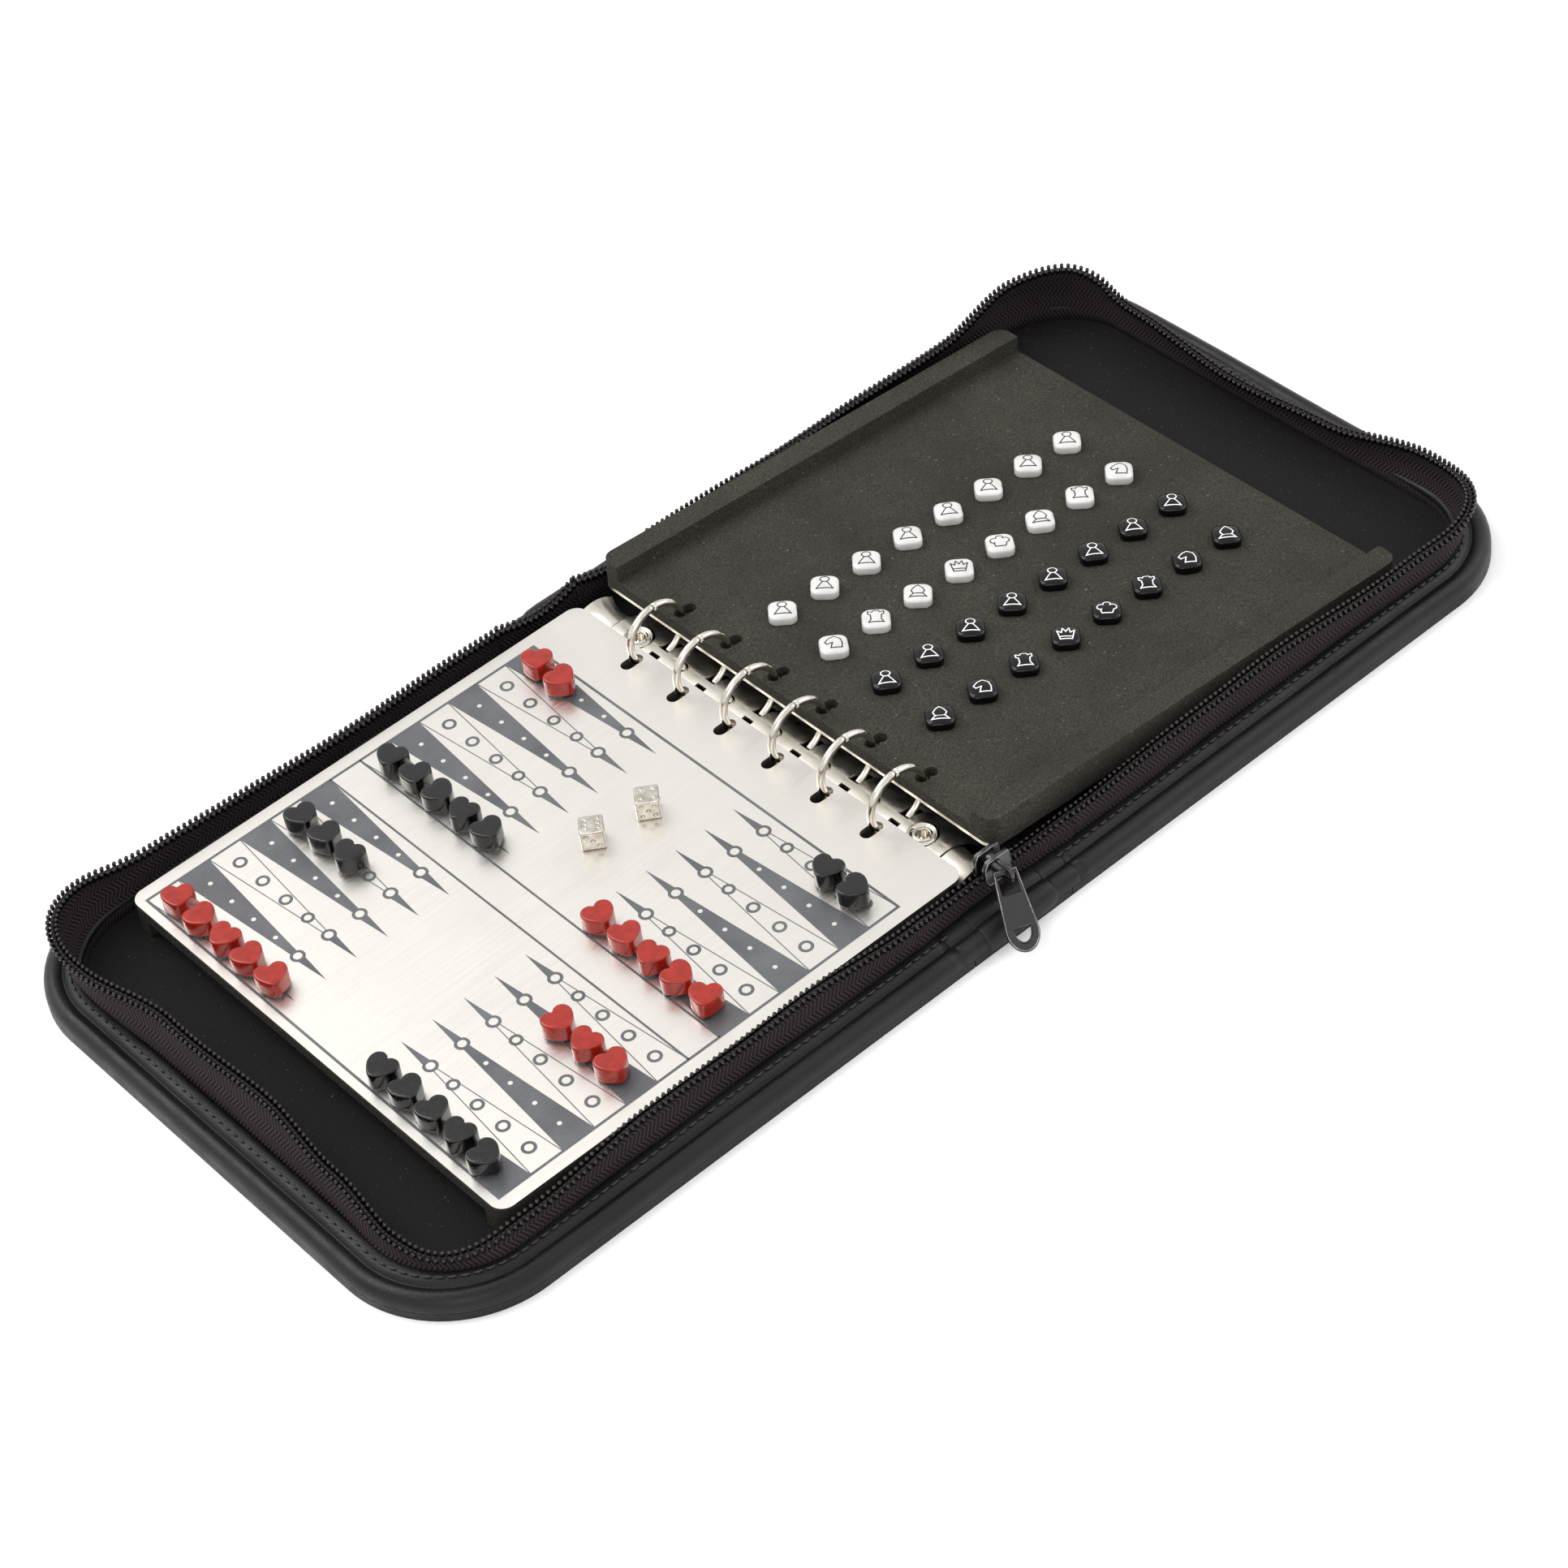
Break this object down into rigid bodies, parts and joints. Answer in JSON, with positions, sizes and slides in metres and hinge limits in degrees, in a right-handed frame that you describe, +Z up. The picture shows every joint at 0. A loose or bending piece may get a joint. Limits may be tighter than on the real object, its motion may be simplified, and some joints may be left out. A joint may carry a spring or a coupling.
{
  "type": "travel backgammon set",
  "caption": "Zip-round binder lying open: steel backgammon page with magnetic heart-shaped men, foam page with chess tiles, held on six rings.",
  "frame": {"origin": "on the table under the middle of the spine", "axes": "+X from the left cover to the right cover, +Y from the near side to the far side, +Z up"},
  "size_m": [0.389, 0.1963, 0.0271],
  "materials": {
    "leathercloth": "smooth satin black leathercloth",
    "nylon_lining": "fine woven black nylon",
    "zip_tape": "herringbone woven tape, brown-black",
    "zip_teeth": "glossy black coil",
    "zip_metal": "black enamelled metal, worn bright at the edges",
    "nickel": "bright nickel plate",
    "steel": "fine brushed steel, satin",
    "foam": "matte closed-cell foam",
    "red_enamel": "gloss red",
    "black_enamel": "gloss black",
    "magnet": "dark bonded magnet sheet",
    "white_tile": "satin white with thin black line marks",
    "black_tile": "gloss black with thin white line marks",
    "die_metal": "silver metal with dimple pips"
  },
  "bodies": {
    "spine": {"spine_shell": "leathercloth", "spine_lining": "nylon_lining", "near_patch": "leathercloth", "far_patch": "leathercloth", "near_zip_end": "zip_tape", "far_zip_end": "zip_tape", "ring_arch": "nickel", "arch_rivets": "nickel", "arch_studs": "nickel", "zip_slider": "zip_metal"},
    "left_cover": {"left_shell": "leathercloth", "left_lining": "nylon_lining", "left_rim": "leathercloth", "left_zip_tape": "zip_tape", "left_zip_coil": "zip_teeth"},
    "right_cover": {"right_shell": "leathercloth", "right_lining": "nylon_lining", "right_rim": "leathercloth", "right_zip_tape": "zip_tape", "right_zip_coil": "zip_teeth"},
    "left_page": {"left_plate": "steel", "left_foam": "foam", "left_far_rail": "foam", "left_near_rail": "foam"},
    "right_page": {"right_plate": "steel", "right_foam": "foam", "right_far_rail": "foam", "right_near_rail": "foam"},
    "left_ring_half": {"left_blade": "nickel", "left_rings": "nickel"},
    "right_ring_half": {"right_blade": "nickel", "right_rings": "nickel"},
    "far_lever": {"far_lever": "nickel"},
    "near_lever": {"near_lever": "nickel"},
    "zip_pull": {"zip_pull": "zip_metal"},
    "red_men": {"red_heart_magnets": "magnet", "red_hearts_far_1": "red_enamel", "red_hearts_far_12": "red_enamel", "red_hearts_near_5": "red_enamel", "red_hearts_near_7": "red_enamel"},
    "black_men": {"black_heart_magnets": "magnet", "black_hearts_far_5": "black_enamel", "black_hearts_far_7": "black_enamel", "black_hearts_near_1": "black_enamel", "black_hearts_near_12": "black_enamel"},
    "white_chess_men": {"white_bishop": "white_tile", "white_king": "white_tile", "white_knight": "white_tile", "white_pawns": "white_tile", "white_queen": "white_tile", "white_rook": "white_tile"},
    "black_chess_men": {"black_bishop": "black_tile", "black_king": "black_tile", "black_knight": "black_tile", "black_pawns": "black_tile", "black_queen": "black_tile", "black_rook": "black_tile"},
    "left_die": {"left_die": "die_metal"},
    "right_die": {"right_die": "die_metal"}
  },
  "joints": [
    {"name": "left_cover_fold", "type": "hinge", "parent": "spine", "child": "left_cover", "pos_m": [-0.017, 0, 0.0032], "axis": [0, 1, 0], "range_deg": [0, 40]},
    {"name": "right_cover_fold", "type": "hinge", "parent": "spine", "child": "right_cover", "pos_m": [0.017, 0, 0.0032], "axis": [0, -1, 0], "range_deg": [0, 40]},
    {"name": "left_page_turn", "type": "hinge", "parent": "spine", "child": "left_page", "pos_m": [0, 0, 0.0168], "axis": [0, 1, 0], "range_deg": [0, 40]},
    {"name": "right_page_turn", "type": "hinge", "parent": "spine", "child": "right_page", "pos_m": [0, 0, 0.0168], "axis": [0, -1, 0], "range_deg": [0, 40]},
    {"name": "left_ring_open", "type": "hinge", "parent": "spine", "child": "left_ring_half", "pos_m": [-0.0004, 0, 0.0069], "axis": [0, -1, 0], "range_deg": [0, 12]},
    {"name": "right_ring_open", "type": "hinge", "parent": "spine", "child": "right_ring_half", "pos_m": [0.0004, 0, 0.0069], "axis": [0, 1, 0], "range_deg": [0, 12]},
    {"name": "far_lever_press", "type": "hinge", "parent": "spine", "child": "far_lever", "pos_m": [0, 0.0658, 0.007], "axis": [-1, 0, 0], "range_deg": [0, 12]},
    {"name": "near_lever_press", "type": "hinge", "parent": "spine", "child": "near_lever", "pos_m": [0, -0.0658, 0.007], "axis": [1, 0, 0], "range_deg": [0, 12]},
    {"name": "pull_swing", "type": "hinge", "parent": "spine", "child": "zip_pull", "pos_m": [0, -0.0875, 0.0175], "axis": [-0.8988, 0.4384, 0], "range_deg": [0, 110]},
    {"name": "red_men_lift", "type": "slide", "parent": "left_page", "child": "red_men", "axis": [0, 0, 1], "range_m": [0, 0.005]},
    {"name": "black_men_lift", "type": "slide", "parent": "left_page", "child": "black_men", "axis": [0, 0, 1], "range_m": [0, 0.005]},
    {"name": "left_die_lift", "type": "slide", "parent": "left_page", "child": "left_die", "axis": [0, 0, 1], "range_m": [0, 0.005]},
    {"name": "right_die_lift", "type": "slide", "parent": "left_page", "child": "right_die", "axis": [0, 0, 1], "range_m": [0, 0.005]},
    {"name": "white_chess_lift", "type": "slide", "parent": "right_page", "child": "white_chess_men", "axis": [0.0698, 0, 0.9976], "range_m": [0, 0.005]},
    {"name": "black_chess_lift", "type": "slide", "parent": "right_page", "child": "black_chess_men", "axis": [0.0698, 0, 0.9976], "range_m": [0, 0.005]}
  ],
  "couplings": [
    {"joint": "left_page_turn", "follows": "left_cover_fold", "ratio": 1},
    {"joint": "right_page_turn", "follows": "right_cover_fold", "ratio": 1},
    {"joint": "right_ring_open", "follows": "left_ring_open", "ratio": 1},
    {"joint": "far_lever_press", "follows": "left_ring_open", "ratio": 1},
    {"joint": "near_lever_press", "follows": "left_ring_open", "ratio": 1}
  ]
}
